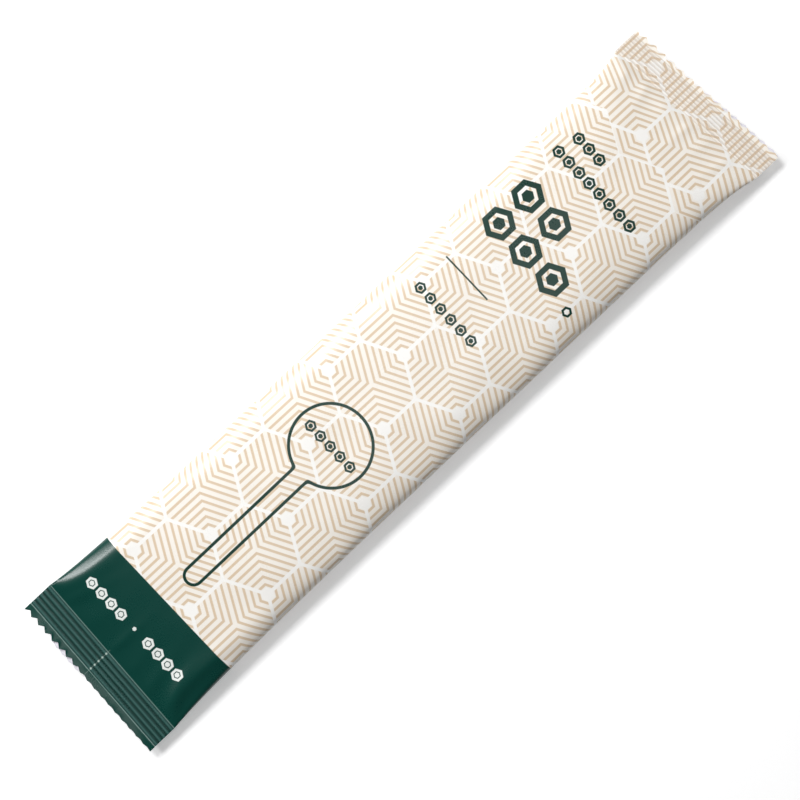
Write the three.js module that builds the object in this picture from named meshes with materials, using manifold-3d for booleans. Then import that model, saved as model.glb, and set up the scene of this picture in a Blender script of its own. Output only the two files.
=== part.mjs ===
// A flow-wrapped film sachet for one disposable spoon, sealed all round.
// A tube of printed film is swollen in the middle and pressed flat at both ends, where it is
// crimped across and cut off with a saw edge. The seam along its back is a fin folded flat.
// It lies on its back: +X is its right side, +Y runs to its pale end and +Z points up.
import * as THREE from "three";
import { mergeVertices } from "three/addons/utils/BufferGeometryUtils.js";
import Module from "manifold-3d";

const wasm = await Module();
wasm.setup();

// Driving sizes of the tube of film, in millimetres.
const packLength = 180; // along the middle, from tooth tip to tooth tip
const flatWidth = 40; // of the tube when it is pressed flat
const filmThickness = 0.1;
const foldBond = 0.03; // how far two films run into each other where they are joined
const frontRise = 4.4; // of the swollen front above the end seals
const backDrop = 2.4; // of the flat back below the end seals
const backSag = 0.4; // how much lower the back would hang with nothing under it
const frontSquareness = 3; // exponent of the front's cross curve, where 2 is an ellipse
const backSquareness = 3.4; // the same for the back

// The seam folded flat against the back.
const finWidth = 6.6;
const finRoot = -1.3; // how far its fold lies to the right of the middle
const finThickness = 0.25;
const finSink = 0.05; // how far it is bonded into the back

// The dark end, at -Y. Lengths are measured along Y.
const darkBand = 24.1; // from the tooth tips to where the dark print ends
const darkSkew = 2.43; // degrees between its cut and a square one
const darkFlap = 1.9; // from the tooth tips to the first ridge
const darkTooth = 2.22; // from tip to tip
const darkToothDepth = 0.92;
const darkDulled = 0.72; // how much of that depth the teeth on the right have lost
const darkRidges = 5;
const darkRidgePitch = 1.12;
const darkRidgeHeight = 0.34;
const darkSwell = 16; // length over which the pack swells from its seal
const darkMouth = 0.5; // how far the two leaves of the flap stand apart

// The pale end, at +Y.
const paleSkew = 5.3;
const paleFlap = 1.25;
const paleTooth = 2.5;
const paleToothDepth = 0.76;
const paleDulled = 0.35;
const paleRidges = 7;
const paleRidgePitch = 0.75;
const paleRidgeHeight = 0.24;
const paleSwell = 7.5;
const paleMouth = 0.35;

// Where the saw cut turns shallower, in millimetres to the right of the middle.
const dulledFrom = -6;
const dulledTo = 4;

// The gathers that run from each seal into the film.
const pleatHeight = 0.22;
const pleatPitch = 5.2;
const pleatShift = 0.15; // of a pitch, to opposite sides at the two ends
const pleatReach = 3.5; // distance from the seal at which they are highest
const skewReach = 15; // distance from the seal over which the skew of the cut dies away

// How finely the curves are faceted.
const sideSteps = 32; // across the front, and again across the back
const swellSteps = 12; // beside each seal
const swellShare = 0.96; // of the full height, reached at the last of these
const middleSteps = 3; // between the last of these of the two ends
const arcSamples = 160; // points on the fine curve that the facets are taken from
const finSteps = 2; // across the fin
// The corners of one ridge: how far along its pitch, and how high in its height.
const broadRidge = [[0.15, -0.5], [0.35, 0.5], [0.65, 0.5], [0.85, -0.5]];
const sharpRidge = [[0.25, -0.5], [0.75, 0.5]];

const printGreen = new THREE.Color("#124036");
const printCream = new THREE.Color("#f6eee0");

const halfLength = packLength / 2;
const halfFlat = flatWidth / 2;

const darkEnd = {
  side: -1,
  slope: -Math.tan(THREE.MathUtils.degToRad(darkSkew)),
  flap: darkFlap,
  tooth: darkTooth,
  toothDepth: darkToothDepth,
  dulled: darkDulled,
  ridges: darkRidges,
  pitch: darkRidgePitch,
  height: darkRidgeHeight,
  ridge: broadRidge,
  swell: darkSwell,
  mouth: darkMouth,
};
const paleEnd = {
  side: 1,
  slope: Math.tan(THREE.MathUtils.degToRad(paleSkew)),
  flap: paleFlap,
  tooth: paleTooth,
  toothDepth: paleToothDepth,
  dulled: paleDulled,
  ridges: paleRidges,
  pitch: paleRidgePitch,
  height: paleRidgeHeight,
  ridge: sharpRidge,
  swell: paleSwell,
  mouth: paleMouth,
};

// Where an end's seal starts, at its flap, and where it ends, at the swollen film.
for (const end of [darkEnd, paleEnd]) {
  end.sealOuter = halfLength - end.flap;
  end.sealInner = end.sealOuter - end.ridges * end.pitch;
}

// Distance of a station along Y from an end's seal, into the pack.
function fromSeal(end, y) {
  return Math.max(end.sealInner - end.side * y, 0);
}

// How swollen the pack is at a station, from 0 at its seals to 1.
function swellAt(y) {
  const rise = (end) => 1 - Math.exp(-fromSeal(end, y) / end.swell);
  return rise(darkEnd) * rise(paleEnd);
}

// How far a point is moved along Y because the ends are cut askew.
function skewAt(x, y) {
  const part = (end) => {
    const left = Math.max(1 - fromSeal(end, y) / skewReach, 0);
    return end.slope * x * left * left;
  };
  return part(darkEnd) + part(paleEnd);
}

// Height of the gathers beside the seals.
function pleatAt(x, y) {
  const wave = (end) => {
    const reach = fromSeal(end, y) / pleatReach;
    const turns = (x / pleatPitch + pleatShift * end.side) * 2 * Math.PI;
    return reach * Math.exp(1 - reach) * Math.cos(turns);
  };
  const inside = 1 - (x / halfFlat) ** 2;
  return pleatHeight * inside * (wave(darkEnd) + wave(paleEnd));
}

// One half of a cross-section as a fine curve from the left edge to the right one.
function halfCurve(halfWidth, height, squareness, floor) {
  const points = [];
  for (let k = 0; k <= arcSamples; k += 1) {
    const angle = Math.PI * (1 - k / arcSamples);
    const across = Math.abs(Math.cos(angle)) ** (2 / squareness);
    const up = Math.abs(Math.sin(angle)) ** (2 / squareness);
    const x = halfWidth * Math.sign(Math.cos(angle)) * across;
    points.push(new THREE.Vector2(x, Math.min(height * up, floor)));
  }
  return points;
}

function lengthOf(points) {
  let total = 0;
  for (let k = 1; k < points.length; k += 1) {
    total += points[k].distanceTo(points[k - 1]);
  }
  return total;
}

// The half width at which the film's length round the pack is that of the flat tube.
function halfWidthFor(rise, drop) {
  let low = halfFlat / 2;
  let high = halfFlat;
  for (let k = 0; k < 40; k += 1) {
    const middle = (low + high) / 2;
    const front = lengthOf(halfCurve(middle, rise, frontSquareness, Infinity));
    const back = lengthOf(halfCurve(middle, drop, backSquareness, backDrop));
    if (front + back > 2 * flatWidth) {
      high = middle;
    } else {
      low = middle;
    }
  }
  return low;
}

// Points at equal steps along a fine curve.
function evenSteps(points, steps) {
  const total = lengthOf(points);
  const even = [points[0]];
  let walked = 0;
  for (let k = 1; k < points.length; k += 1) {
    const step = points[k].distanceTo(points[k - 1]);
    while (even.length < steps && walked + step >= (even.length * total) / steps) {
      const share = ((even.length * total) / steps - walked) / step;
      even.push(new THREE.Vector2().lerpVectors(points[k - 1], points[k], share));
    }
    walked += step;
  }
  even.push(points[points.length - 1]);
  return even;
}

// A station along the pack: its place, the lift of its ridge and its cross-section.
function stationAt(y, lift) {
  const swell = swellAt(y);
  const rise = filmThickness + (frontRise - filmThickness) * swell;
  const drop = filmThickness + (backDrop + backSag - filmThickness) * swell;
  return { y, lift, rise, drop, halfWidth: halfWidthFor(rise, drop) };
}

// The surface of the back at one place of a station.
function backHeight(station, x) {
  const share = Math.min(Math.abs(x / station.halfWidth), 1);
  const curve = (1 - share ** backSquareness) ** (1 / backSquareness);
  return station.lift - Math.min(station.drop * curve, backDrop);
}

// The ridges pressed across an end, as stations from the flap inwards.
function crimpStations(end) {
  const stations = [stationAt(end.side * end.sealOuter, 0)];
  for (let k = 0; k < end.ridges; k += 1) {
    for (const [share, level] of end.ridge) {
      const along = end.sealOuter - (k + share) * end.pitch;
      stations.push(stationAt(end.side * along, end.height * level));
    }
  }
  stations.push(stationAt(end.side * end.sealInner, 0));
  return stations;
}

// The swollen film between the seals: beside each seal it rises by the same step at each
// station, and one station lies where the dark print ends.
function bodyStations() {
  const beside = (end, step) => {
    const reach = -end.swell * Math.log(1 - (swellShare * step) / swellSteps);
    return end.side * (end.sealInner - reach);
  };
  const places = [darkBand - halfLength];
  for (let k = 1; k <= swellSteps; k += 1) {
    places.push(beside(darkEnd, k), beside(paleEnd, k));
  }
  const start = beside(darkEnd, swellSteps);
  const length = beside(paleEnd, swellSteps) - start;
  for (let k = 1; k <= middleSteps; k += 1) {
    places.push(start + (length * k) / (middleSteps + 1));
  }
  return places.sort((a, b) => a - b).map((y) => stationAt(y, 0));
}

// A closed solid through loops of points, one loop to a station. Each loop runs along the upper
// side and back along the lower one, and these either share their end points or don't.
function loftSolid(loops, shareEnds) {
  const count = loops[0].length;
  const last = loops.length - 1;
  const across = shareEnds ? count / 2 : count / 2 - 1;
  const under = (k) => (shareEnds ? count - k : count - 1 - k);
  const at = (row, k) => row * count + (k % count);
  const faces = [];
  for (let row = 0; row < last; row += 1) {
    for (let k = 0; k < count; k += 1) {
      faces.push([at(row, k), at(row, k + 1), at(row + 1, k + 1)]);
      faces.push([at(row, k), at(row + 1, k + 1), at(row + 1, k)]);
    }
  }
  for (let k = 0; k < across; k += 1) {
    faces.push([at(0, k + 1), at(0, k), at(0, under(k))]);
    faces.push([at(0, k + 1), at(0, under(k)), at(0, under(k + 1))]);
    faces.push([at(last, k), at(last, k + 1), at(last, under(k + 1))]);
    faces.push([at(last, k), at(last, under(k + 1)), at(last, under(k))]);
  }
  return solidFrom(loops.flat(), faces);
}

// A closed sheet between an upper and a lower grid of points, whose rows follow each other
// along +Y.
function sheetSolid(upper, lower) {
  const loops = upper.map((row, k) => [...row, ...[...lower[k]].reverse()]);
  return loftSolid(loops, false);
}

// A closed solid from its points and triangles, without the triangles that have no area
// because two of their corners are one point.
function solidFrom(points, faces) {
  const hasArea = ([a, b, c]) =>
    !points[a].equals(points[b]) && !points[b].equals(points[c]) && !points[c].equals(points[a]);
  const geometry = new THREE.BufferGeometry().setFromPoints(points);
  geometry.setIndex(faces.filter(hasArea).flat());
  const merged = mergeVertices(geometry, 1e-5);
  return new wasm.Manifold(
    new wasm.Mesh({
      numProp: 3,
      vertProperties: merged.attributes.position.array,
      triVerts: new Uint32Array(merged.index.array),
    }),
  );
}

// The closed tube of film, from the outer edge of one seal to that of the other.
function filmTube(stations) {
  const loops = stations.map((station) => {
    const { y, lift, rise, drop, halfWidth } = station;
    const front = evenSteps(halfCurve(halfWidth, rise, frontSquareness, Infinity), sideSteps);
    const back = evenSteps(halfCurve(halfWidth, drop, backSquareness, backDrop), sideSteps);
    const upper = front.map((p) => {
      const gather = pleatAt(p.x, y) * Math.min(p.y / rise, 1);
      return new THREE.Vector3(p.x, y + skewAt(p.x, y), p.y + gather + lift);
    });
    const lower = back.slice(1, -1).map((p) => {
      return new THREE.Vector3(p.x, y + skewAt(p.x, y), lift - p.y);
    });
    return [...upper, ...lower.reverse()];
  });
  return loftSolid(loops, true);
}

// Depth of an end's saw cut at one place across it.
function toothDepthAt(end, x) {
  return end.toothDepth * (1 - end.dulled * THREE.MathUtils.smoothstep(x, dulledFrom, dulledTo));
}

// One leaf of the saw-cut flap beyond a seal: level is 1 for the front leaf, -1 for the back.
function flapLeaf(end, level) {
  const teeth = Math.round(flatWidth / end.tooth);
  const inner = [];
  const outer = [];
  for (let k = 0; k <= 2 * teeth; k += 1) {
    const x = halfFlat * (k / teeth - 1);
    const valley = (k + (level > 0 ? 1 : 0)) % 2 === 0;
    const along = halfLength - (valley ? toothDepthAt(end, x) : 0);
    const open = (end.mouth / 2) * (1 - (x / halfFlat) ** 4);
    inner.push({ x, y: end.side * (end.sealOuter - filmThickness) + end.slope * x, z: -foldBond });
    outer.push({ x, y: end.side * along + end.slope * x, z: open - foldBond });
  }
  const rows = end.side > 0 ? [inner, outer] : [outer, inner];
  const face = (offset) =>
    rows.map((row) => row.map((p) => new THREE.Vector3(p.x, p.y, level * (p.z + offset))));
  const near = face(0);
  const far = face(filmThickness);
  return level > 0 ? sheetSolid(far, near) : sheetSolid(near, far);
}

// The seam that runs along the back from one cut end to the other.
function finStrip(stations) {
  const columns = [];
  for (let k = 0; k <= finSteps; k += 1) {
    columns.push(finRoot + (finWidth * k) / finSteps);
  }
  const first = stations[0];
  const last = stations[stations.length - 1];
  const cut = (station, end) => ({ ...station, y: end.side * (halfLength - end.toothDepth) });
  const rows = [cut(first, darkEnd), ...stations, cut(last, paleEnd)];
  const face = (offset) =>
    rows.map((station) =>
      columns.map((x) => {
        const y = station.y + skewAt(x, station.y);
        return new THREE.Vector3(x, y, backHeight(station, x) + offset);
      }),
    );
  return sheetSolid(face(finSink), face(-finThickness));
}

// The print as fields of colour: a dark band at one end of a pale pack.
function paint(geometry) {
  const place = geometry.attributes.position;
  const colours = new Float32Array(place.count * 3);
  for (let corner = 0; corner < place.count; corner += 3) {
    const y = (place.getY(corner) + place.getY(corner + 1) + place.getY(corner + 2)) / 3;
    const ink = y < darkBand - halfLength ? printGreen : printCream;
    for (let k = 0; k < 3; k += 1) {
      ink.toArray(colours, (corner + k) * 3);
    }
  }
  geometry.setAttribute("color", new THREE.BufferAttribute(colours, 3));
}

function filmPack() {
  const stations = [
    ...crimpStations(darkEnd),
    ...bodyStations(),
    ...crimpStations(paleEnd).reverse(),
  ];
  let solid = filmTube(stations).add(finStrip(stations));
  for (const end of [darkEnd, paleEnd]) {
    solid = solid.add(flapLeaf(end, 1)).add(flapLeaf(end, -1));
  }
  const mesh = solid.getMesh();
  const indexed = new THREE.BufferGeometry();
  indexed.setAttribute("position", new THREE.BufferAttribute(mesh.vertProperties, 3));
  indexed.setIndex(new THREE.BufferAttribute(mesh.triVerts, 1));
  const geometry = indexed.toNonIndexed();
  paint(geometry);
  geometry.computeVertexNormals();
  return geometry;
}

const geometry = filmPack();

// The origin lies at the middle of the outer box, level with the surface under the pack.
geometry.computeBoundingBox();
const box = geometry.boundingBox;
const middle = box.getCenter(new THREE.Vector3());
geometry.translate(-middle.x, -middle.y, -box.min.z);

const film = new THREE.Mesh(
  geometry,
  new THREE.MeshStandardMaterial({ vertexColors: true, roughness: 0.4, metalness: 0 }),
);
film.name = "film_pack";

const pack = new THREE.Group();
pack.add(film);

export default pack;
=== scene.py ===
"""A flow-wrapped film sachet for one disposable spoon, lying on its back on a pale floor."""

import math

import bpy
import numpy as np
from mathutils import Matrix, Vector


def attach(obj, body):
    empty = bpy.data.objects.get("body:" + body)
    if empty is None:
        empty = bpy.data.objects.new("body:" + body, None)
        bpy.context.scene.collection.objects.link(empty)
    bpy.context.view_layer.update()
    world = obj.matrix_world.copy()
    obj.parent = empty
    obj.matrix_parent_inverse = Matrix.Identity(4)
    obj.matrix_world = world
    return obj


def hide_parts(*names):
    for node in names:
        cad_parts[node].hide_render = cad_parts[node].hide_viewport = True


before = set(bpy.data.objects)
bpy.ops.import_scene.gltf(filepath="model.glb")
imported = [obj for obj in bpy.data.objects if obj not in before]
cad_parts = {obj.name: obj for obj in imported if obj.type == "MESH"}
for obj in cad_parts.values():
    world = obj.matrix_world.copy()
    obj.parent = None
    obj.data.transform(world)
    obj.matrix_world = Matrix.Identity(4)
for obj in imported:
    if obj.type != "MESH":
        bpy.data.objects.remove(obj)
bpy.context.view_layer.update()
MM = 0.001

# The photograph: where the pack lies in it, in pixels of its 800 by 800 frame.
PHOTO_SIDE = 800
PHOTO_SCALE = 4.75  # pixels to a millimetre
PACK_MIDDLE = (397.75, 386.75)
PACK_TURN = math.radians(43.386)  # of its length, above the photo's horizontal

# The tube of film, in millimetres, as the CAD has it.
PACK_LENGTH = 180.0
FLAT_WIDTH = 40.0
FILM = 0.06
FRONT_RISE = 4.4
BACK_DROP = 2.4
BACK_SAG = 0.4
FRONT_SQUARENESS = 3.0
BACK_SQUARENESS = 3.4
SEAL_SQUARENESS = 8.0  # of the cross curve right beside a seal
EDGE_FADE = 6  # power by which waves and folds die away towards the two edges
SQUARE_REACH = 7.0  # distance from the seal over which it dies away
SKEW_REACH = 15.0
DARK_BAND = 23.9  # from the tooth tips to where the dark print ends

# The seam folded flat against the back.
FIN_ROOT = -1.3
FIN_WIDTH = 6.6
FIN_THICKNESS = 0.25
FIN_RIDGES = 6
FIN_RIB = 0.025  # half the height of its ribs
FIN_SUNK = 0.02  # how far its top reaches into the film
FIN_PRINT_SHIFT = 27  # of its print, so that it carries the pattern and no marks

# The two ends: what one has in all its steps.
DARK_END = {
    "side": -1,
    "slope": -math.tan(math.radians(2.5)),
    "cut_slope": -math.tan(math.radians(2.0)),
    "flap": 1.7,
    "tooth_columns": 6,
    "tooth_depth": 0.82,
    "ridges": 5,
    "pitch": 1.12,
    "height": 0.27,
    "ridge_rows": 12,
    "swell": 16.0,
    "mouth": 0.5,
}
PALE_END = {
    "side": 1,
    "slope": math.tan(math.radians(4.6)),
    "cut_slope": math.tan(math.radians(4.6)),
    "flap": 1.2,
    "tooth_columns": 7,
    "tooth_depth": 0.76,
    "ridges": 7,
    "pitch": 0.77,
    "height": 0.25,
    "ridge_rows": 8,
    "swell": 7.5,
    "mouth": 0.35,
}
for end in (DARK_END, PALE_END):
    end["seal_outer"] = PACK_LENGTH / 2 - end["flap"]
    end["seal_inner"] = end["seal_outer"] - end["ridges"] * end["pitch"]

# The frame: where the tube's middle and its parting plane lie in it.
HALF_FLAT = FLAT_WIDTH / 2
MIDDLE_Y = -0.5
PARTING_Z = BACK_DROP + FIN_THICKNESS

# How finely the film is meshed.
SIDE_COLUMNS = 108
BODY_ROWS = 236
CURVE_SAMPLES = 400


def srgb(red, green, blue):
    """A colour written in 0 to 255 as the linear one that a shader takes."""
    def linear(value):
        value /= 255
        return value / 12.92 if value <= 0.04045 else ((value + 0.055) / 1.055) ** 2.4
    return (linear(red), linear(green), linear(blue), 1.0)


def deselect():
    if bpy.context.object and bpy.context.object.mode != "OBJECT":
        bpy.ops.object.mode_set(mode="OBJECT")
    bpy.ops.object.select_all(action="DESELECT")


# Camera: straight above the pack, turned so that its length climbs to the right.
CAMERA_LENS = 90.0
SENSOR = 36.0


def add_camera():
    """Puts the pack's middle on its pixel of the photograph."""
    turn = math.pi / 2 - PACK_TURN
    right = Vector((math.cos(turn), math.sin(turn), 0))
    up = Vector((-math.sin(turn), math.cos(turn), 0))
    away_right = (PACK_MIDDLE[0] - PHOTO_SIDE / 2) / PHOTO_SCALE
    away_up = (PHOTO_SIDE / 2 - PACK_MIDDLE[1]) / PHOTO_SCALE
    height = PHOTO_SIDE / PHOTO_SCALE * CAMERA_LENS / SENSOR
    spot = Vector((0, MIDDLE_Y, PARTING_Z + height)) - right * away_right - up * away_up
    bpy.ops.object.camera_add(location=spot * MM, rotation=(0, 0, turn))
    camera = bpy.context.object
    camera.name = "camera"
    camera.data.lens = CAMERA_LENS
    camera.data.sensor_width = SENSOR
    camera.data.clip_start = 0.01
    bpy.context.scene.camera = camera


deselect()
add_camera()


# The form of the film.
def from_seal(end, y):
    return np.maximum(end["seal_inner"] - end["side"] * y, 0)


def swell_at(y):
    """How swollen the pack is along its length, from 0 at the seals to 1."""
    rise = [1 - np.exp(-from_seal(end, y) / end["swell"]) for end in (DARK_END, PALE_END)]
    return rise[0] * rise[1]


def skew_at(x, y):
    """How far a point moves along the pack because the ends are cut askew."""
    moved = 0
    for end in (DARK_END, PALE_END):
        left = np.maximum(1 - from_seal(end, y) / SKEW_REACH, 0)
        moved = moved + end["slope"] * x * left**2
    return moved


def half_curve(half_width, height, squareness, floor):
    """Half a cross-section, from its left edge to its right one."""
    angle = np.linspace(math.pi, 0, CURVE_SAMPLES + 1)
    across = np.sign(np.cos(angle)) * np.abs(np.cos(angle)) ** (2 / squareness)
    up = np.abs(np.sin(angle)) ** (2 / squareness)
    return half_width * across, np.minimum(height * up, floor)


def walked(x, z):
    """Length along a curve at each of its points."""
    return np.concatenate(([0], np.cumsum(np.hypot(np.diff(x), np.diff(z)))))


def cross_section(y):
    """The front and back curves at a station, with the length of film round it kept."""
    swell = swell_at(y)
    near = sum(np.exp(-from_seal(end, y) / SQUARE_REACH) for end in (DARK_END, PALE_END))
    front_power = FRONT_SQUARENESS + (SEAL_SQUARENESS - FRONT_SQUARENESS) * near
    back_power = BACK_SQUARENESS + (SEAL_SQUARENESS - BACK_SQUARENESS) * near
    rise = FILM + (FRONT_RISE - FILM) * swell
    drop = FILM + (BACK_DROP + BACK_SAG - FILM) * swell
    low, high = HALF_FLAT / 2, HALF_FLAT
    for _ in range(30):
        middle = (low + high) / 2
        front = half_curve(middle, rise, front_power, math.inf)
        back = half_curve(middle, drop, back_power, BACK_DROP)
        if walked(*front)[-1] + walked(*back)[-1] > 2 * FLAT_WIDTH:
            high = middle
        else:
            low = middle
    return front, back


def along_curve(curve, shares):
    """Points at shares of a curve's length."""
    length = walked(*curve)
    return (np.interp(shares * length[-1], length, curve[0]),
            np.interp(shares * length[-1], length, curve[1]))


# Columns run round the tube: from the middle of the back over the left edge, the front and the
# right edge to the middle of the back again.
COLUMN = np.arange(2 * SIDE_COLUMNS + 1)
LEFT_EDGE = SIDE_COLUMNS // 2
RIGHT_EDGE = LEFT_EDGE + SIDE_COLUMNS
IS_FRONT = (COLUMN >= LEFT_EDGE) & (COLUMN <= RIGHT_EDGE)
FRONT_SHARE = np.clip((COLUMN - LEFT_EDGE) / SIDE_COLUMNS, 0, 1)
BACK_SHARE = np.where(COLUMN <= LEFT_EDGE, (LEFT_EDGE - COLUMN) / SIDE_COLUMNS,
                      0.5 + (2 * SIDE_COLUMNS - COLUMN) / SIDE_COLUMNS)
FLAT_X = np.where(IS_FRONT, FRONT_SHARE, BACK_SHARE) * FLAT_WIDTH - HALF_FLAT
FILM_X = (COLUMN / SIDE_COLUMNS - 1) * FLAT_WIDTH  # along the film, from the front's middle

# Soft waves of the film: (across, along, height, turn), waves to a millimetre and millimetres.
WAVES = ((0.031, 0.021, 0.05, 0.3), (0.052, 0.034, 0.04, 2.1), (-0.043, 0.047, 0.035, 4.4),
         (0.083, 0.026, 0.028, 1.2), (-0.072, 0.062, 0.022, 5.5), (0.021, 0.094, 0.022, 3.1))
# Gathers beside each seal: (place across, width, height) in millimetres.
DARK_GATHERS = ((-15.2, 1.4, 0.2), (-8.5, 2.2, 0.12), (-1.0, 1.1, 0.16), (4.9, 1.6, 0.1),
                (10.6, 1.5, 0.2), (16.3, 1.2, 0.16))
PALE_GATHERS = ((-16.0, 1.3, 0.09), (-10.2, 1.1, 0.08), (-4.1, 1.6, 0.06), (2.2, 1.0, 0.09),
                (7.4, 1.3, 0.06), (13.5, 1.2, 0.1))
GATHER_REACH = 3.2
GATHER_DRIFT = 0.02  # how far they lean inwards, to a millimetre from the seal
BACK_RELIEF = 0.6  # of the front's


def relief_at(x, y, front):
    """What stands out of the smooth form: soft waves, and gathers that leave the seals."""
    swell = swell_at(y)
    relief = 0
    for across, along, height, turn in WAVES:
        relief = relief + height * np.sin(2 * math.pi * (across * x + along * y) + turn)
    relief = relief * swell
    for end, gathers in ((DARK_END, DARK_GATHERS), (PALE_END, PALE_GATHERS)):
        reach = from_seal(end, y) / GATHER_REACH
        fade = reach * np.exp(1 - reach)
        for place, width, height in gathers:
            shift = place * (1 - GATHER_DRIFT * from_seal(end, y))
            relief = relief + height * fade * np.exp(-(((x - shift) / width) ** 2))
    relief = relief + np.where(front, corner_folds(x, y), 0)
    edge = np.clip(1 - np.abs(x / HALF_FLAT) ** EDGE_FADE, 0, 1)
    return relief * edge * np.where(front, 1, BACK_RELIEF)


# The folds that leave the corners of the seals: end, side, how far in, how soon, drift, height,
# width of the facet outside and reach along the pack.
CORNER_FOLDS = (
    (DARK_END, 1, 6.2, 3.6, 0.08, 0.95, 1.8, 22),
    (DARK_END, -1, 4.2, 6.0, 0.0, 0.8, 1.7, 24),
    (PALE_END, 1, 4.6, 2.6, 0.1, 0.2, 1.2, 9),
    (PALE_END, -1, 5.2, 2.4, 0.1, 0.25, 1.2, 9),
)


CORNER_X = 19.8
FACET_INSIDE = 2.6
FOLD_RISE = 1.5


def corner_folds(x, y):
    """A crest that runs from a seal's corner inwards and then along the pack's shoulder."""
    height = 0
    for end, side, inwards, soon, drift, crest, facet, reach in CORNER_FOLDS:
        away = from_seal(end, y)
        line = CORNER_X - inwards * (1 - np.exp(-away / soon)) + drift * away
        off = side * x - line
        width = np.where(off > 0, facet, FACET_INSIDE)
        fade = (1 - np.exp(-away / FOLD_RISE)) * np.exp(-away / reach)
        height = height + crest * fade * np.exp(-((off / width) ** 2))
    return height


# What the folded seam does to the ridges of a seal: it shifts them, lifts them and leaves a step.
SEAM_PHASE = 0.1
SEAM_LIFT = 0.05
SEAM_STEP = 0.1
SEAM_STEP_WIDTH = 0.18
RIDGE_RAMP = 0.25  # of a pitch, over which the outermost ridges start


def ridge_lift(end, y, x):
    """Height of the ridges pressed across an end."""
    phase = (end["seal_outer"] - end["side"] * y) / end["pitch"]
    over_fin = smooth_step(x, FIN_ROOT, 0.2) - smooth_step(x, FIN_ROOT + FIN_WIDTH, 0.5)
    phase = phase + SEAM_PHASE * over_fin
    wave = -np.cos(2 * math.pi * phase)
    inside = (phase > 0.02) & (phase < end["ridges"] - 0.02)
    ramp = np.clip(np.minimum(phase, end["ridges"] - phase) / RIDGE_RAMP, 0, 1)
    beside = np.exp(-(((x - FIN_ROOT) / SEAM_STEP_WIDTH) ** 2))
    step = SEAM_LIFT * over_fin + SEAM_STEP * beside
    return np.where(inside, ramp * (end["height"] / 2 * wave + step), 0)


def smooth_step(value, middle, half_width):
    t = np.clip((value - middle) / (2 * half_width) + 0.5, 0, 1)
    return t * t * (3 - 2 * t)


def tooth_edge(end, front):
    """Where the saw cut ends each column of a leaf, measured inwards from the tooth tips.

    Each step lies at a place across the pack, in millimetres, and has a half width: there the
    teeth grow dull, the back leaf slips against the front one, or it shows beyond it.
    """
    steps = end["tooth_columns"]
    column = np.round((FLAT_X + HALF_FLAT) / FLAT_WIDTH * SIDE_COLUMNS)
    if end is DARK_END:
        slip = np.where(front, 0, steps / 2 * smooth_step(FLAT_X, -10, 4))
        depth = end["tooth_depth"] * (1 - 0.72 * smooth_step(FLAT_X, -3, 5))
        shown = smooth_step(FLAT_X, -11.5, 1.5) - smooth_step(FLAT_X, -2.5, 1.0)
        depth = depth * np.where(front, 1, 1 - 0.6 * shown)
        more = np.where(front, 0, 0.42 * shown)
    else:
        slip = np.where(front, 0, steps / 3 * smooth_step(FLAT_X, 0, 8))
        depth = end["tooth_depth"] * (1 - 0.4 * smooth_step(FLAT_X, 8, 8))
        more = np.where(front, 0, 0.35 * smooth_step(FLAT_X, 5, 5))
    phase = np.mod(column + steps / 2 + slip, steps) / steps
    return depth * np.abs(2 * phase - 1) - more


FLAP_DROOP = 0.12
FLAP_DROOP_TURN = 0.31  # radians to a millimetre across


def leaf_row(end, share, inside):
    """A row of the flap, from the seal's outer edge at share 0 to the saw cut at 1."""
    cut = np.where(IS_FRONT, tooth_edge(end, True), tooth_edge(end, False))
    length = end["flap"] - cut
    outward = end["seal_outer"] + length * share
    bulge = 1 - np.abs(FLAT_X / HALF_FLAT) ** 4
    apart = end["mouth"] / 2 * share**1.5 * bulge
    up = apart if inside else apart + FILM * bulge_edge()
    narrow = 1 - FILM / HALF_FLAT if inside else 1
    droop = FLAP_DROOP * share * np.sin(FLAT_X * FLAP_DROOP_TURN + end["side"])
    x = FLAT_X * narrow
    y = end["side"] * outward + (end["slope"] * (1 - share) + end["cut_slope"] * share) * FLAT_X
    z = np.where(IS_FRONT, up, -up) + droop
    return np.stack((x, y, z), axis=1)


def bulge_edge():
    """The film's own thickness at each column: none at the folds of the two edges."""
    return (1 - np.abs(FLAT_X / HALF_FLAT) ** SEAL_SQUARENESS) ** (1 / SEAL_SQUARENESS)


def tube_row(y):
    """A row of the seals or of the swollen film."""
    front, back = cross_section(y)
    front_x, front_z = along_curve(front, FRONT_SHARE)
    back_x, back_z = along_curve(back, BACK_SHARE)
    x = np.where(IS_FRONT, front_x, back_x)
    z = np.where(IS_FRONT, front_z, -back_z)
    relief = relief_at(x, y, IS_FRONT)
    z = z + np.where(IS_FRONT, relief, np.where(z > -BACK_DROP + 0.05, -relief * 0.5, 0))
    z = np.where(IS_FRONT, z, np.maximum(z, -BACK_DROP))
    for end in (DARK_END, PALE_END):
        z = z + ridge_lift(end, y, x)
    return np.stack((x, y + skew_at(x, y), z), axis=1)


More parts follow.
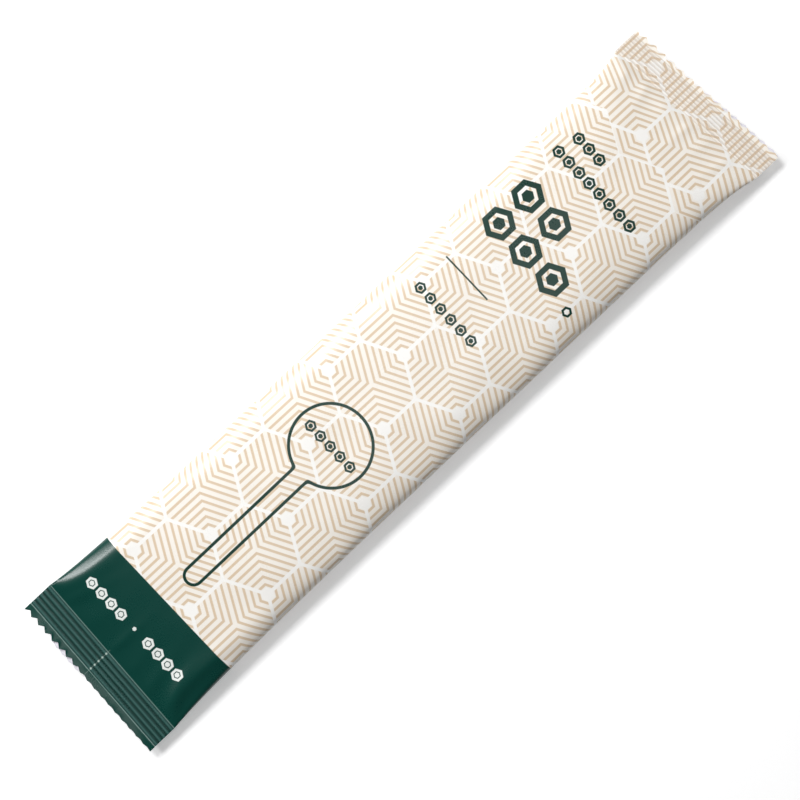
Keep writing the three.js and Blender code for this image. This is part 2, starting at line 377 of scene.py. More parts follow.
def film_rows():
    """All rows of the film from inside one mouth, over the outside, to inside the other."""
    half = PACK_LENGTH / 2
    rows = []
    along = []

    def add(row, place):
        rows.append(row)
        along.append(place)

    inner = (0.0, 0.5, 1.0)
    outer = (1.0, 0.8, 0.6, 0.4, 0.2)
    for share in inner:
        add(leaf_row(DARK_END, share, True), -half - DARK_END["flap"] * (1 - share) - 0.2)
    for share in outer:
        add(leaf_row(DARK_END, share, False), -half + DARK_END["flap"] * (1 - share))
    stations = []
    for end in (DARK_END, PALE_END):
        steps = end["ridges"] * end["ridge_rows"]
        seal = np.linspace(end["seal_outer"], end["seal_inner"], steps + 1)
        stations.append(end["side"] * seal)
    start, stop = -DARK_END["seal_inner"], PALE_END["seal_inner"]
    even = np.linspace(0, 1, BODY_ROWS + 2)[1:-1]
    crowded = even - 0.09 * np.sin(2 * math.pi * even)
    body = start + (stop - start) * crowded
    for y in np.concatenate((stations[0], body, stations[1][::-1])):
        add(tube_row(y), y)
    for share in outer[::-1]:
        add(leaf_row(PALE_END, share, False), half - PALE_END["flap"] * (1 - share))
    for share in inner[::-1]:
        add(leaf_row(PALE_END, share, True), half + PALE_END["flap"] * (1 - share) + 0.2)
    return np.array(rows), np.array(along)


# The UV map is the film laid flat, with a margin: one unit is UV_SPAN millimetres each way.
UV_SPAN = (84.0, 190.0)


def wrapped_grid(name, rows, film_x, film_y):
    """A grid whose rows are moved to their places, and whose meeting edges are welded."""
    count_y, count_x = rows.shape[:2]
    deselect()
    bpy.ops.mesh.primitive_grid_add(x_subdivisions=count_x - 1, y_subdivisions=count_y - 1, size=2)
    piece = bpy.context.object
    piece.name = name
    mesh = piece.data
    flat = np.empty(len(mesh.vertices) * 3)
    mesh.vertices.foreach_get("co", flat)
    flat = flat.reshape(-1, 3)
    column = np.round((flat[:, 0] + 1) / 2 * (count_x - 1)).astype(int)
    row = np.round((flat[:, 1] + 1) / 2 * (count_y - 1)).astype(int)
    place = rows[row, column] + np.array((0, MIDDLE_Y, PARTING_Z))
    mesh.vertices.foreach_set("co", (place * MM).ravel())
    corner = np.empty(len(mesh.loops), dtype=int)
    mesh.loops.foreach_get("vertex_index", corner)
    uv = np.stack((film_x[column[corner]] / UV_SPAN[0], film_y[row[corner]] / UV_SPAN[1]), axis=1)
    mesh.uv_layers[0].name = "film"
    mesh.uv_layers[0].data.foreach_set("uv", (uv + 0.5).ravel())
    first = np.empty(len(mesh.polygons), dtype=int)
    mesh.polygons.foreach_get("loop_start", first)
    mesh.update()
    return piece, row[corner[first]]


def weld(piece):
    """Closes the seam and the ends of a wrapped grid and smooths it."""
    deselect()
    piece.select_set(True)
    bpy.context.view_layer.objects.active = piece
    bpy.ops.object.mode_set(mode="EDIT")
    bpy.ops.mesh.select_all(action="SELECT")
    bpy.ops.mesh.remove_doubles(threshold=0.002 * MM)
    bpy.ops.mesh.dissolve_degenerate(threshold=0.0001 * MM)
    bpy.ops.mesh.select_all(action="SELECT")
    bpy.ops.mesh.normals_make_consistent(inside=False)
    bpy.ops.object.mode_set(mode="OBJECT")
    bpy.ops.object.shade_smooth_by_angle(angle=math.radians(50))


# Node helpers.
def new_material(name):
    material = bpy.data.materials.new(name)
    material.use_nodes = True
    material.node_tree.nodes.clear()
    return material


def node(tree, kind, **settings):
    made = tree.nodes.new(kind)
    for key, value in settings.items():
        setattr(made, key, value)
    return made


def feed(tree, socket, value):
    """Links a socket to another one, or sets it to a plain value."""
    if isinstance(value, bpy.types.NodeSocket):
        tree.links.new(value, socket)
    elif value is not None:
        socket.default_value = value


def calc(tree, operation, a, b=None, c=None):
    made = node(tree, "ShaderNodeMath", operation=operation)
    for socket, value in zip(made.inputs, (a, b, c)):
        feed(tree, socket, value)
    return made.outputs[0]


def ramp_below(tree, value, edge, soft):
    """1 where the value lies below the edge and 0 above it, over a soft step."""
    made = node(tree, "ShaderNodeMapRange", interpolation_type="SMOOTHSTEP")
    feed(tree, made.inputs["Value"], value)
    feed(tree, made.inputs["From Min"], calc(tree, "SUBTRACT", edge, soft))
    feed(tree, made.inputs["From Max"], calc(tree, "ADD", edge, soft))
    made.inputs["To Min"].default_value = 1
    made.inputs["To Max"].default_value = 0
    return made.outputs[0]


def mix_colour(tree, share, a, b, blend="MIX"):
    made = node(tree, "ShaderNodeMix", data_type="RGBA", blend_type=blend)
    feed(tree, made.inputs[0], share)
    feed(tree, made.inputs[6], a)
    feed(tree, made.inputs[7], b)
    return made.outputs[2]


def new_group(name, inputs, outputs):
    """A shader node group with its inputs, each with a starting value, and its outputs."""
    group = bpy.data.node_groups.new(name, "ShaderNodeTree")
    for label, start in inputs.items():
        kind = "NodeSocketVector" if start is None else "NodeSocketFloat"
        socket = group.interface.new_socket(label, in_out="INPUT", socket_type=kind)
        if start is not None:
            socket.default_value = start
    for label, kind in outputs.items():
        group.interface.new_socket(label, in_out="OUTPUT", socket_type=kind)
    return group, node(group, "NodeGroupInput").outputs, node(group, "NodeGroupOutput").inputs


def use_group(tree, group, **values):
    made = node(tree, "ShaderNodeGroup", node_tree=group)
    for label, value in values.items():
        feed(tree, made.inputs[label.replace("_", " ")], value)
    return made.outputs


def hexagon_distance(tree, x, y):
    """Distance from the middle of a hexagon to its sides, two of which face along x."""
    x = calc(tree, "ABSOLUTE", x)
    y = calc(tree, "ABSOLUTE", y)
    slanted = calc(tree, "MULTIPLY_ADD", y, math.sqrt(3) / 2, calc(tree, "MULTIPLY", x, 0.5))
    return calc(tree, "MAXIMUM", x, slanted)


def hexagon_print():
    """Nested hexagons on a honeycomb of nodes, each cut by three light spokes."""
    group, given, made = new_group(
        "hexagon_print",
        {"Place": None, "Spacing": 16.35, "Line Pitch": 1.41, "Line Width": 0.54, "Edge": 0.74,
         "Spoke Width": 0.75, "Centre": 1.35, "Softness": 0.09},
        {"Lines": "NodeSocketFloat", "Light": "NodeSocketFloat"})
    spacing = given["Spacing"]
    split = node(group, "ShaderNodeSeparateXYZ")
    group.links.new(given["Place"], split.inputs[0])
    half_wide = calc(group, "MULTIPLY", spacing, 0.5)
    tall = calc(group, "MULTIPLY", spacing, math.sqrt(3))
    half_tall = calc(group, "MULTIPLY", tall, 0.5)
    near = []
    for shift in (0, 1):
        wrapped = []
        for axis, half in ((0, half_wide), (1, half_tall)):
            start = split.outputs[axis]
            if shift:
                start = calc(group, "ADD", start, half)
            wrap = calc(group, "WRAP", start, half, calc(group, "MULTIPLY", half, -1))
            wrapped.append(wrap)
        square = calc(group, "MULTIPLY", wrapped[1], wrapped[1])
        length = calc(group, "MULTIPLY_ADD", wrapped[0], wrapped[0], square)
        near.append((wrapped, length))
    second = calc(group, "LESS_THAN", near[1][1], near[0][1])
    x, y = (
        calc(group, "MULTIPLY_ADD", calc(group, "SUBTRACT", near[1][0][k], near[0][0][k]), second,
             near[0][0][k])
        for k in (0, 1))
    radius = hexagon_distance(group, x, y)
    inwards = calc(group, "SUBTRACT", half_wide, radius)
    pitch = given["Line Pitch"]
    step = calc(group, "DIVIDE", calc(group, "SUBTRACT", inwards, given["Edge"]), pitch)
    off = calc(group, "ABSOLUTE", calc(group, "WRAP", step, 0.5, -0.5))
    off = calc(group, "MULTIPLY", off, pitch)
    soft = given["Softness"]
    line = ramp_below(group, off, calc(group, "MULTIPLY", given["Line Width"], 0.5), soft)
    third = 2 * math.pi / 3
    turn = calc(group, "DIVIDE", calc(group, "ARCTAN2", x, y), third)
    turn = calc(group, "MULTIPLY", calc(group, "ABSOLUTE", calc(group, "WRAP", turn, 0.5, -0.5)),
                third)
    square = calc(group, "MULTIPLY_ADD", x, x, calc(group, "MULTIPLY", y, y))
    beside = calc(group, "MULTIPLY", calc(group, "SQRT", square), calc(group, "SINE", turn))
    spoke = ramp_below(group, beside, calc(group, "MULTIPLY", given["Spoke Width"], 0.5), soft)
    centre = ramp_below(group, radius, given["Centre"], soft)
    light = calc(group, "MAXIMUM", spoke, centre)
    group.links.new(light, made["Light"])
    group.links.new(calc(group, "MULTIPLY", line, calc(group, "SUBTRACT", 1, light)),
                    made["Lines"])
    return group


def motif_row():
    """A row of like hexagonal motifs across the pack, each with a lighter ring in it."""
    group, given, made = new_group(
        "motif_row",
        {"Place": None, "Start": 0, "Along": 0, "Pitch": 3, "Count": 4, "Size": 2.4,
         "Ring": 0.5, "Ring Width": 0.2, "Softness": 0.06},
        {"Mask": "NodeSocketFloat"})
    split = node(group, "ShaderNodeSeparateXYZ")
    group.links.new(given["Place"], split.inputs[0])
    away = calc(group, "SUBTRACT", split.outputs[0], given["Start"])
    step = calc(group, "ROUND", calc(group, "DIVIDE", away, given["Pitch"]))
    last = calc(group, "SUBTRACT", given["Count"], 1)
    step = calc(group, "MINIMUM", calc(group, "MAXIMUM", step, 0), last)
    x = calc(group, "SUBTRACT", away, calc(group, "MULTIPLY", step, given["Pitch"]))
    y = calc(group, "SUBTRACT", split.outputs[1], given["Along"])
    radius = hexagon_distance(group, x, y)
    half = calc(group, "MULTIPLY", given["Size"], 0.5)
    solid = ramp_below(group, radius, half, given["Softness"])
    off = calc(group, "ABSOLUTE",
               calc(group, "SUBTRACT", radius, calc(group, "MULTIPLY", half, given["Ring"])))
    ring = ramp_below(group, off, calc(group, "MULTIPLY", given["Ring Width"], 0.5),
                      given["Softness"])
    group.links.new(calc(group, "MULTIPLY", solid, calc(group, "SUBTRACT", 1, ring)),
                    made["Mask"])
    return group


def spoon_outline():
    """The outline of a plain spoon: a round bowl and a slim handle with a round end."""
    group, given, made = new_group(
        "spoon_outline",
        {"Place": None, "Middle": -0.6, "Bowl Along": 71.4, "Bowl Radius": 8.75,
         "Handle Start": 31.9, "Handle End": 66.0, "Handle Radius": 1.93, "Fillet": 1.1,
         "Line Width": 0.66, "Softness": 0.06},
        {"Mask": "NodeSocketFloat"})
    split = node(group, "ShaderNodeSeparateXYZ")
    group.links.new(given["Place"], split.inputs[0])
    x = calc(group, "SUBTRACT", split.outputs[0], given["Middle"])
    square = calc(group, "MULTIPLY", x, x)

    def distance(along):
        return calc(group, "SQRT", calc(group, "MULTIPLY_ADD", along, along, square))

    bowl_along = calc(group, "SUBTRACT", split.outputs[1], given["Bowl Along"])
    bowl = calc(group, "SUBTRACT", distance(bowl_along), given["Bowl Radius"])
    nearest = calc(group, "MINIMUM", calc(group, "MAXIMUM", split.outputs[1],
                                          given["Handle Start"]), given["Handle End"])
    handle_along = calc(group, "SUBTRACT", split.outputs[1], nearest)
    handle = calc(group, "SUBTRACT", distance(handle_along), given["Handle Radius"])
    both = calc(group, "SMOOTH_MIN", bowl, handle, given["Fillet"])
    line = ramp_below(group, calc(group, "ABSOLUTE", both),
                      calc(group, "MULTIPLY", given["Line Width"], 0.5), given["Softness"])
    group.links.new(line, made["Mask"])
    return group


def film_grain():
    """The fine matt grain of the film, as a height and as a change of roughness."""
    group, given, made = new_group(
        "film_grain", {"Place": None, "Size": 0.35},
        {"Height": "NodeSocketFloat", "Roughness": "NodeSocketFloat"})
    scale = calc(group, "DIVIDE", 1, given["Size"])
    fine = node(group, "ShaderNodeTexNoise")
    feed(group, fine.inputs["Vector"], given["Place"])
    feed(group, fine.inputs["Scale"], scale)
    fine.inputs["Detail"].default_value = 2
    broad = node(group, "ShaderNodeTexNoise")
    feed(group, broad.inputs["Vector"], given["Place"])
    broad.inputs["Scale"].default_value = 0.11
    broad.inputs["Detail"].default_value = 3
    group.links.new(fine.outputs[0], made["Height"])
    rough = calc(group, "MULTIPLY_ADD", calc(group, "SUBTRACT", fine.outputs[0], 0.5), 0.03,
                 calc(group, "MULTIPLY", calc(group, "SUBTRACT", broad.outputs[0], 0.5), 0.08))
    group.links.new(rough, made["Roughness"])
    return group


HEXAGONS = hexagon_print()
MOTIFS = motif_row()
SPOON = spoon_outline()
GRAIN = film_grain()

CREAM = srgb(251, 245, 236)
CREAM_LIGHT = srgb(254, 252, 248)
PATTERN_LINE = srgb(224, 202, 174)
DARK_INK = srgb(6, 54, 44)
BAND_INK = srgb(6, 63, 55)
BAND_MARK = srgb(238, 242, 238)
# Painted highlight: light specks and a faint line where the seam's step crosses the dark seal's
# ridges.
SEAM_GLINT = srgb(196, 214, 205)
# Painted highlight: the dark seal's ridge crests, lighter than the band's green ink.
CREST_HIGHLIGHT_INK = srgb(56, 96, 91)
# Painted shade: the band's green ink darkened over the dark seal, which its valleys keep.
SHADED_VALLEY_INK = srgb(5, 48, 42)
# Painted highlight: light lines along the dark seal's two borders.
BORDER_HIGHLIGHT = srgb(140, 172, 164)
# Painted shade in the valleys between the pale seal's ridges.
PALE_VALLEY_SHADE = srgb(196, 178, 164)
FILM_INSIDE = srgb(226, 223, 232)

# The hexagons: one node's place in millimetres across and along the film, the spacing across,
# the step along, how far the rows drift across and how the print shrinks towards the pale end.
HEXAGON_NODE = (4.41, 108.83)
HEXAGON_SPACING = 16.35
HEXAGON_STEP = 13.37
HEXAGON_TURN = 0.006
HEXAGON_SHRINK = 0.00063
# Beyond a zigzag joint, one point of it and its depth, the print starts anew.
JOINT_POINT = (4.9, 161.6)
JOINT_DEPTH = 4.6
JOINT_SPACING = 16.8
SECOND_NODE = (5.36, 176.5)
SECOND_SPACING = 16.9
SECOND_STEP = 13.4

# Rows of dark motifs: where the first one's middle lies, how many, their pitch and their size.
DARK_ROWS = (
    {"Start": -11.4, "Along": 153.0, "Count": 3, "Pitch": 3.0, "Size": 2.5},
    {"Start": -12.3, "Along": 148.1, "Count": 8, "Pitch": 3.0, "Size": 2.5},
    {"Start": -10.0, "Along": 137.0, "Count": 2, "Pitch": 7.9, "Size": 6.4, "Ring_Width": 0.75},
    {"Start": -10.0, "Along": 128.7, "Count": 3, "Pitch": 7.9, "Size": 6.4, "Ring_Width": 0.75},
    {"Start": -11.5, "Along": 107.6, "Count": 6, "Pitch": 3.0, "Size": 2.3},
    {"Start": -6.4, "Along": 71.2, "Count": 5, "Pitch": 2.9, "Size": 2.3},
)
SMALL_RING = {"Start": 12.7, "Along": 126.3, "Count": 1, "Pitch": 9.0, "Size": 2.1,
              "Ring": 0, "Ring_Width": 1.1}
BAND_ROWS = (
    {"Start": -14.0, "Along": 15.0, "Count": 4, "Pitch": 2.95, "Size": 2.4},
    {"Start": 3.2, "Along": 15.0, "Count": 4, "Pitch": 2.95, "Size": 2.4},
    {"Start": -1.0, "Along": 15.0, "Count": 1, "Pitch": 9.0, "Size": 0.8, "Ring_Width": 0},
)
RULE = {"middle": -6.45, "half_length": 6.15, "along": 116.0, "half_width": 0.18}


FILM_ROUGHNESS = 0.28
INSIDE_ROUGHNESS = 0.3
# How strongly the painted highlights and painted shade of the seals are mixed in.
SEAM_GLINT_SHARE = 0.8
BORDER_HIGHLIGHT_SHARE = 0.7
VALLEY_SHADE_SHARE = 0.5


def film_place(tree):
    """Millimetres across the front from its middle, and along it from the dark tooth tips."""
    uv = node(tree, "ShaderNodeUVMap", uv_map="film")
    mapping = node(tree, "ShaderNodeMapping")
    tree.links.new(uv.outputs[0], mapping.inputs["Vector"])
    mapping.inputs["Scale"].default_value = (*UV_SPAN, 1)
    mapping.inputs["Location"].default_value = (
        -UV_SPAN[0] / 2, -UV_SPAN[1] / 2 + PACK_LENGTH / 2, 0)
    return mapping.outputs[0]


def rows_mask(tree, place, rows):
    mask = 0.0
    for values in rows:
        made = use_group(tree, MOTIFS, Place=place, **values)["Mask"]
        mask = calc(tree, "MAXIMUM", mask, made)
    return mask


def rule_mask(tree, x, along):
    off_x = calc(tree, "ABSOLUTE", calc(tree, "SUBTRACT", x, RULE["middle"]))
    off_y = calc(tree, "ABSOLUTE", calc(tree, "SUBTRACT", along, RULE["along"]))
    return calc(tree, "MULTIPLY", ramp_below(tree, off_x, RULE["half_length"], 0.06),
                ramp_below(tree, off_y, RULE["half_width"], 0.05))


def honeycomb_place(tree, x, along, start, spacing, step, turn, shrink):
    """A place on the film as seen from one node, in a honeycomb without squeeze or shrinkage."""
    y = calc(tree, "SUBTRACT", along, start[1])
    scale = calc(tree, "MULTIPLY_ADD", y, -shrink, 1.0)
    x = calc(tree, "SUBTRACT", calc(tree, "DIVIDE", x, scale), start[0])
    y = calc(tree, "MULTIPLY", y, calc(tree, "MULTIPLY_ADD", y, shrink / 2, 1.0))
    x = calc(tree, "MULTIPLY_ADD", y, -turn, x)
    y = calc(tree, "MULTIPLY", y, spacing * math.sqrt(3) / 2 / step)
    both = node(tree, "ShaderNodeCombineXYZ")
    feed(tree, both.inputs[0], x)
    feed(tree, both.inputs[1], y)
    return both.outputs[0]


def joint_mask(tree, x, along):
    """1 on the dark side of the zigzag joint of the print."""
    half = JOINT_SPACING / 2
    off = calc(tree, "WRAP", calc(tree, "SUBTRACT", x, JOINT_POINT[0]), half, -half)
    back = calc(tree, "MULTIPLY", calc(tree, "ABSOLUTE", off), JOINT_DEPTH / half)
    return ramp_below(tree, along, calc(tree, "SUBTRACT", JOINT_POINT[1], back), 0.05)


def pick_value(tree, share, a, b):
    """The first value where the share is 0 and the second where it is 1."""
    return calc(tree, "MULTIPLY_ADD", calc(tree, "SUBTRACT", b, a), share, a)


def painted_seam_glints():
    """Painted highlight: light specks and a faint line where a fold runs across pressed ridges."""
    group, given, made = new_group(
        "painted_seam_glints",
        {"Place": None, "Fold": -1.3, "Start": 2.3, "Pitch": 1.12, "Count": 5, "Size": 0.42,
         "Softness": 0.1},
        {"Mask": "NodeSocketFloat"})
    split = node(group, "ShaderNodeSeparateXYZ")
    group.links.new(given["Place"], split.inputs[0])
    x = calc(group, "SUBTRACT", split.outputs[0], given["Fold"])
    away = calc(group, "SUBTRACT", split.outputs[1], given["Start"])
    step = calc(group, "ROUND", calc(group, "DIVIDE", away, given["Pitch"]))
    last = calc(group, "SUBTRACT", given["Count"], 1)
    step = calc(group, "MINIMUM", calc(group, "MAXIMUM", step, 0), last)
    y = calc(group, "SUBTRACT", away, calc(group, "MULTIPLY", step, given["Pitch"]))
    square = calc(group, "MULTIPLY_ADD", x, x, calc(group, "MULTIPLY", y, y))
    speck = ramp_below(group, calc(group, "SQRT", square),
                       calc(group, "MULTIPLY", given["Size"], 0.5), given["Softness"])
    line = ramp_below(group, calc(group, "ABSOLUTE", x), 0.04, given["Softness"])
    length = calc(group, "MULTIPLY", given["Pitch"], given["Count"])
    inside = ramp_below(group, calc(group, "ABSOLUTE", away), length, 0.2)
    faint = calc(group, "MULTIPLY", calc(group, "MULTIPLY", line, inside), 0.35)
    group.links.new(calc(group, "MAXIMUM", speck, faint), made["Mask"])
    return group


def seal_ridge_shading():
    """Masks for painted shade and highlight on a seal: its inside, its ridge crests and its two
    borders.
    """
    group, given, made = new_group(
        "seal_ridge_shading",
        {"Place": None, "Start": 1.7, "Pitch": 1.12, "Count": 5, "Border Width": 0.16,
         "Softness": 0.1},
        {"Inside": "NodeSocketFloat", "Crest": "NodeSocketFloat", "Border": "NodeSocketFloat"})
    split = node(group, "ShaderNodeSeparateXYZ")
    group.links.new(given["Place"], split.inputs[0])
    away = calc(group, "SUBTRACT", split.outputs[1], given["Start"])
    turn = calc(group, "MULTIPLY", calc(group, "DIVIDE", away, given["Pitch"]), 2 * math.pi)
    crest = calc(group, "MULTIPLY_ADD", calc(group, "COSINE", turn), -0.5, 0.5)
    half = calc(group, "MULTIPLY", calc(group, "MULTIPLY", given["Pitch"], given["Count"]), 0.5)
    off = calc(group, "ABSOLUTE", calc(group, "SUBTRACT", away, half))
    inside = ramp_below(group, off, half, given["Softness"])
    edge = calc(group, "ABSOLUTE", calc(group, "SUBTRACT", off, half))
    border = ramp_below(group, edge, calc(group, "MULTIPLY", given["Border Width"], 0.5),
                        given["Softness"])
    group.links.new(inside, made["Inside"])
    group.links.new(calc(group, "MULTIPLY", crest, inside), made["Crest"])
    group.links.new(border, made["Border"])
    return group


def printed_film():
    """Satin film, printed on its outside: a pale ground with hexagons, and a dark band."""
    material = new_material("printed_film")
    tree = material.node_tree
    place = film_place(tree)
    split = node(tree, "ShaderNodeSeparateXYZ")
    tree.links.new(place, split.inputs[0])
    x, along = split.outputs[0], split.outputs[1]
    first = use_group(tree, HEXAGONS, Spacing=HEXAGON_SPACING,
                      Place=honeycomb_place(tree, x, along, HEXAGON_NODE, HEXAGON_SPACING,
                                            HEXAGON_STEP, HEXAGON_TURN, HEXAGON_SHRINK))
    second = use_group(tree, HEXAGONS, Spacing=SECOND_SPACING,
                       Place=honeycomb_place(tree, x, along, SECOND_NODE, SECOND_SPACING,
                                             SECOND_STEP, 0, 0))
    before = joint_mask(tree, x, along)
    light = pick_value(tree, before, second["Light"], first["Light"])
    lines = pick_value(tree, before, second["Lines"], first["Lines"])
    ground = mix_colour(tree, light, CREAM, CREAM_LIGHT)
    colour = mix_colour(tree, lines, ground, PATTERN_LINE)
    ridges = seal_ridge_shading()
    # Painted shade: the valleys between the pale seal's ridges are darkened.
    pale = use_group(tree, ridges, Place=place, Start=PACK_LENGTH / 2 + PALE_END["seal_inner"],
                     Pitch=PALE_END["pitch"], Count=PALE_END["ridges"], Softness=0.08)
    valley_shade = calc(tree, "SUBTRACT", pale["Inside"], pale["Crest"])
    colour = mix_colour(tree, calc(tree, "MULTIPLY", valley_shade, VALLEY_SHADE_SHARE), colour, PALE_VALLEY_SHADE)
    dark = rows_mask(tree, place, DARK_ROWS)
    ring = use_group(tree, MOTIFS, Place=place, **SMALL_RING)["Mask"]
    dark = calc(tree, "MAXIMUM", dark, ring)
    dark = calc(tree, "MAXIMUM", dark, use_group(tree, SPOON, Place=place)["Mask"])
    dark = calc(tree, "MAXIMUM", dark, rule_mask(tree, x, along))
    colour = mix_colour(tree, dark, colour, DARK_INK)
    band = mix_colour(tree, rows_mask(tree, place, BAND_ROWS), BAND_INK, BAND_MARK)
    # Painted shade and painted highlight on the dark seal: darker valleys, lighter ridge crests.
    pressed = use_group(tree, ridges, Place=place)
    band = mix_colour(tree, pressed["Inside"], band, SHADED_VALLEY_INK)
    band = mix_colour(tree, pressed["Crest"], band, CREST_HIGHLIGHT_INK)
    # Painted highlight: light lines along the dark seal's two borders.
    border = calc(tree, "MULTIPLY", pressed["Border"], BORDER_HIGHLIGHT_SHARE)
    band = mix_colour(tree, border, band, BORDER_HIGHLIGHT)
    # Painted highlight: light specks and a faint line where the seam's step crosses the ridges.
    glint_mask = use_group(tree, painted_seam_glints(), Place=place)["Mask"]
    band = mix_colour(tree, calc(tree, "MULTIPLY", glint_mask, SEAM_GLINT_SHARE), band, SEAM_GLINT)
    colour = mix_colour(tree, ramp_below(tree, along, DARK_BAND, 0.06), colour, band)
    finish_film(tree, place, colour, FILM_ROUGHNESS)
    return material


def finish_film(tree, place, colour, roughness):
    """The satin skin that every face of the film has."""
    grain = use_group(tree, GRAIN, Place=place)
    shader = node(tree, "ShaderNodeBsdfPrincipled")
    feed(tree, shader.inputs["Base Color"], colour)
    feed(tree, shader.inputs["Roughness"], calc(tree, "ADD", grain["Roughness"], roughness))
    shader.inputs["Specular IOR Level"].default_value = 0.5
    bump = node(tree, "ShaderNodeBump")
    bump.inputs["Strength"].default_value = 0.06
    bump.inputs["Distance"].default_value = 0.02 * MM
    tree.links.new(grain["Height"], bump.inputs["Height"])
    tree.links.new(bump.outputs[0], shader.inputs["Normal"])
    out = node(tree, "ShaderNodeOutputMaterial")
    tree.links.new(shader.outputs[0], out.inputs["Surface"])


def film_inside():
    """The unprinted inner side of the film, which shows in the mouth of each flap."""
    material = new_material("film_inside")
    tree = material.node_tree
    place = film_place(tree)
    fleck = node(tree, "ShaderNodeTexNoise")
    tree.links.new(place, fleck.inputs["Vector"])
    fleck.inputs["Scale"].default_value = 0.8
    colour = mix_colour(tree, fleck.outputs[0], FILM_INSIDE, srgb(243, 241, 247))
    finish_film(tree, place, colour, INSIDE_ROUGHNESS)
    return material


PRINTED = printed_film()
INSIDE = film_inside()
INSIDE_ROWS = 2  # faces between the rows inside each mouth


def add_film():
    """The tube of film from mouth to mouth."""
    rows, along = film_rows()
    piece, row = wrapped_grid("film_skin", rows, FILM_X, along)
    piece.data.materials.append(PRINTED)
    piece.data.materials.append(INSIDE)
    inside = (row < INSIDE_ROWS) | (row >= len(rows) - 1 - INSIDE_ROWS)
    piece.data.polygons.foreach_set("material_index", inside.astype(int))
    weld(piece)
    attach(piece, "root")
    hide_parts("film_pack")


def add_fin():
    """The seam on the back: two films sealed face to face, ribbed along, folded to the right."""
    steps = 40
    share = np.linspace(0, 1, steps + 1)
    x = FIN_ROOT + FIN_WIDTH * share
    rib = FIN_RIB * np.cos(2 * math.pi * FIN_RIDGES * share) * np.sin(math.pi * share) ** 0.5
    rows = []
    along = []
    half = PACK_LENGTH / 2
    stations = [-half + DARK_END["tooth_depth"]]
    for end, step in ((DARK_END, 1), (PALE_END, -1)):
        seal = np.linspace(end["seal_outer"], end["seal_inner"], end["ridges"] * 8 + 1)
        stations.extend((end["side"] * seal)[::step])
        if end is DARK_END:
            middle = np.linspace(-DARK_END["seal_inner"], PALE_END["seal_inner"], 150)
            stations.extend(middle[1:-1])
    stations.append(half - PALE_END["tooth_depth"])
    for y in stations:
        _, back = cross_section(y)
        surface = -np.interp(x, back[0], back[1])
        for end in (DARK_END, PALE_END):
            surface = surface + ridge_lift(end, y, x)
        shift = skew_at(x, y)
        top = surface + FIN_SUNK
        low = surface - FIN_THICKNESS + np.maximum(rib, 0)
        upper = np.stack((x, y + shift, top), axis=1)
        lower = np.stack((x, y + shift, low), axis=1)
        rows.append(np.concatenate((upper, lower[::-1], upper[:1])))
        along.append(y)
    closed = [np.concatenate((rows[k][:steps + 1], rows[k][steps::-1], rows[k][:1]))
              for k in (0, -1)]
    rows = np.array([closed[0], *rows, closed[1]])
    along = np.array([along[0], *along, along[-1]])
    film_x = FIN_PRINT_SHIFT + np.concatenate(
        (x, 2 * x[-1] - x[::-1], [x[0] + 2 * FIN_WIDTH]))
    piece, _ = wrapped_grid("back_seam", rows, film_x, along)
    piece.data.materials.append(PRINTED)
    weld(piece)
    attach(piece, "root")


add_film()
add_fin()


# Floor, lamps and world.
FLOOR_DROP = 0.02  # millimetres below the pack, so that the two don't touch
FLOOR_GLOW = 0.35  # what the floor adds for a plain look, so that it stays near white
FILL_LIGHT = 0.06


def add_floor():
    deselect()
    bpy.ops.mesh.primitive_plane_add(size=4, location=(0, 0, -FLOOR_DROP * MM))
    floor = bpy.context.object
    floor.name = "floor"
    material = new_material("white_floor")
    tree = material.node_tree
    plain = node(tree, "ShaderNodeBsdfDiffuse")
    plain.inputs["Color"].default_value = (0.85, 0.85, 0.85, 1)
    glow = node(tree, "ShaderNodeEmission")
    glow.inputs["Strength"].default_value = FLOOR_GLOW
    both = node(tree, "ShaderNodeAddShader")
    tree.links.new(plain.outputs[0], both.inputs[0])
    tree.links.new(glow.outputs[0], both.inputs[1])
    pick = node(tree, "ShaderNodeMixShader")
    tree.links.new(seen_plainly(tree), pick.inputs[0])
    tree.links.new(plain.outputs[0], pick.inputs[1])
    tree.links.new(both.outputs[0], pick.inputs[2])
    out = node(tree, "ShaderNodeOutputMaterial")
    tree.links.new(pick.outputs[0], out.inputs["Surface"])
    floor.data.materials.append(material)


def seen_plainly(tree):
    """1 for a look from the camera, by reflection or through something clear."""
    path = node(tree, "ShaderNodeLightPath")
    seen = calc(tree, "MAXIMUM", path.outputs["Is Camera Ray"], path.outputs["Is Glossy Ray"])
    return calc(tree, "MAXIMUM", seen, path.outputs["Is Transmission Ray"])


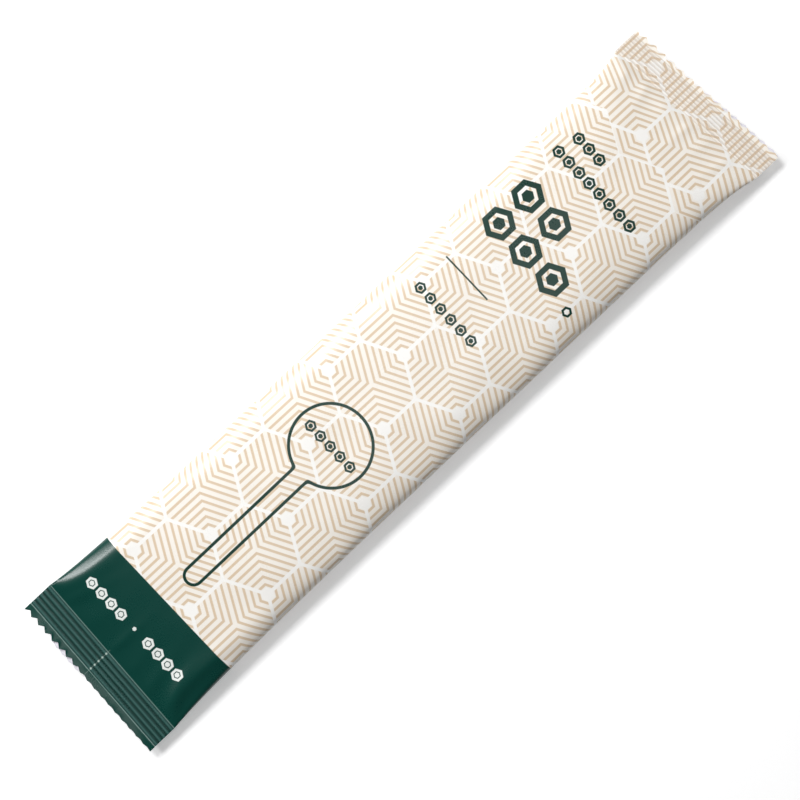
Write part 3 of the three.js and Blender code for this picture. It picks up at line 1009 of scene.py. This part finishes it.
def add_world():
    world = bpy.data.worlds.new("studio")
    bpy.context.scene.world = world
    world.use_nodes = True
    tree = world.node_tree
    tree.nodes.clear()
    fill = node(tree, "ShaderNodeBackground")
    fill.inputs["Color"].default_value = (0.95, 0.97, 1.0, 1)
    fill.inputs["Strength"].default_value = FILL_LIGHT
    white = node(tree, "ShaderNodeBackground")
    ray = node(tree, "ShaderNodeTexCoord")
    height = node(tree, "ShaderNodeSeparateXYZ")
    tree.links.new(ray.outputs["Generated"], height.inputs[0])
    ceiling = node(tree, "ShaderNodeMapRange", interpolation_type="SMOOTHSTEP")
    tree.links.new(height.outputs[2], ceiling.inputs["Value"])
    ceiling.inputs["From Min"].default_value = 0.05
    ceiling.inputs["From Max"].default_value = 0.3
    ceiling.inputs["To Min"].default_value = 1.0
    ceiling.inputs["To Max"].default_value = 0.05
    tree.links.new(ceiling.outputs[0], white.inputs["Strength"])
    pick = node(tree, "ShaderNodeMixShader")
    tree.links.new(seen_plainly(tree), pick.inputs[0])
    tree.links.new(fill.outputs[0], pick.inputs[1])
    tree.links.new(white.outputs[0], pick.inputs[2])
    out = node(tree, "ShaderNodeOutputWorld")
    tree.links.new(pick.outputs[0], out.inputs["Surface"])


def add_lamp(name, azimuth, elevation, distance, size, power):
    """A soft square lamp that faces the pack; azimuth 0 stands at +X, 90 at +Y."""
    azimuth, elevation = math.radians(azimuth), math.radians(elevation)
    towards = Vector((math.cos(azimuth) * math.cos(elevation),
                      math.sin(azimuth) * math.cos(elevation), math.sin(elevation)))
    deselect()
    bpy.ops.object.light_add(type="AREA", location=towards * distance)
    lamp = bpy.context.object
    lamp.name = name
    lamp.rotation_euler = (-towards).to_track_quat("-Z", "Y").to_euler()
    lamp.data.shape = "SQUARE"
    lamp.data.size = size
    lamp.data.energy = power


# Each lamp: azimuth and elevation in degrees, distance and size in metres, and watts.
LAMPS = {
    "key_lamp": (178, 48, 0.7, 0.24, 3.6),
    "shoulder_lamp": (213, 42, 0.74, 0.16, 2.0),
    "top_lamp": (90, 89, 0.9, 0.36, 0.7),
    "ridge_lamp": (105, 30, 0.7, 0.16, 0.6),
}

add_floor()
add_world()
for lamp_name, values in LAMPS.items():
    add_lamp(lamp_name, *values)

bpy.context.scene.view_settings.view_transform = "Standard"
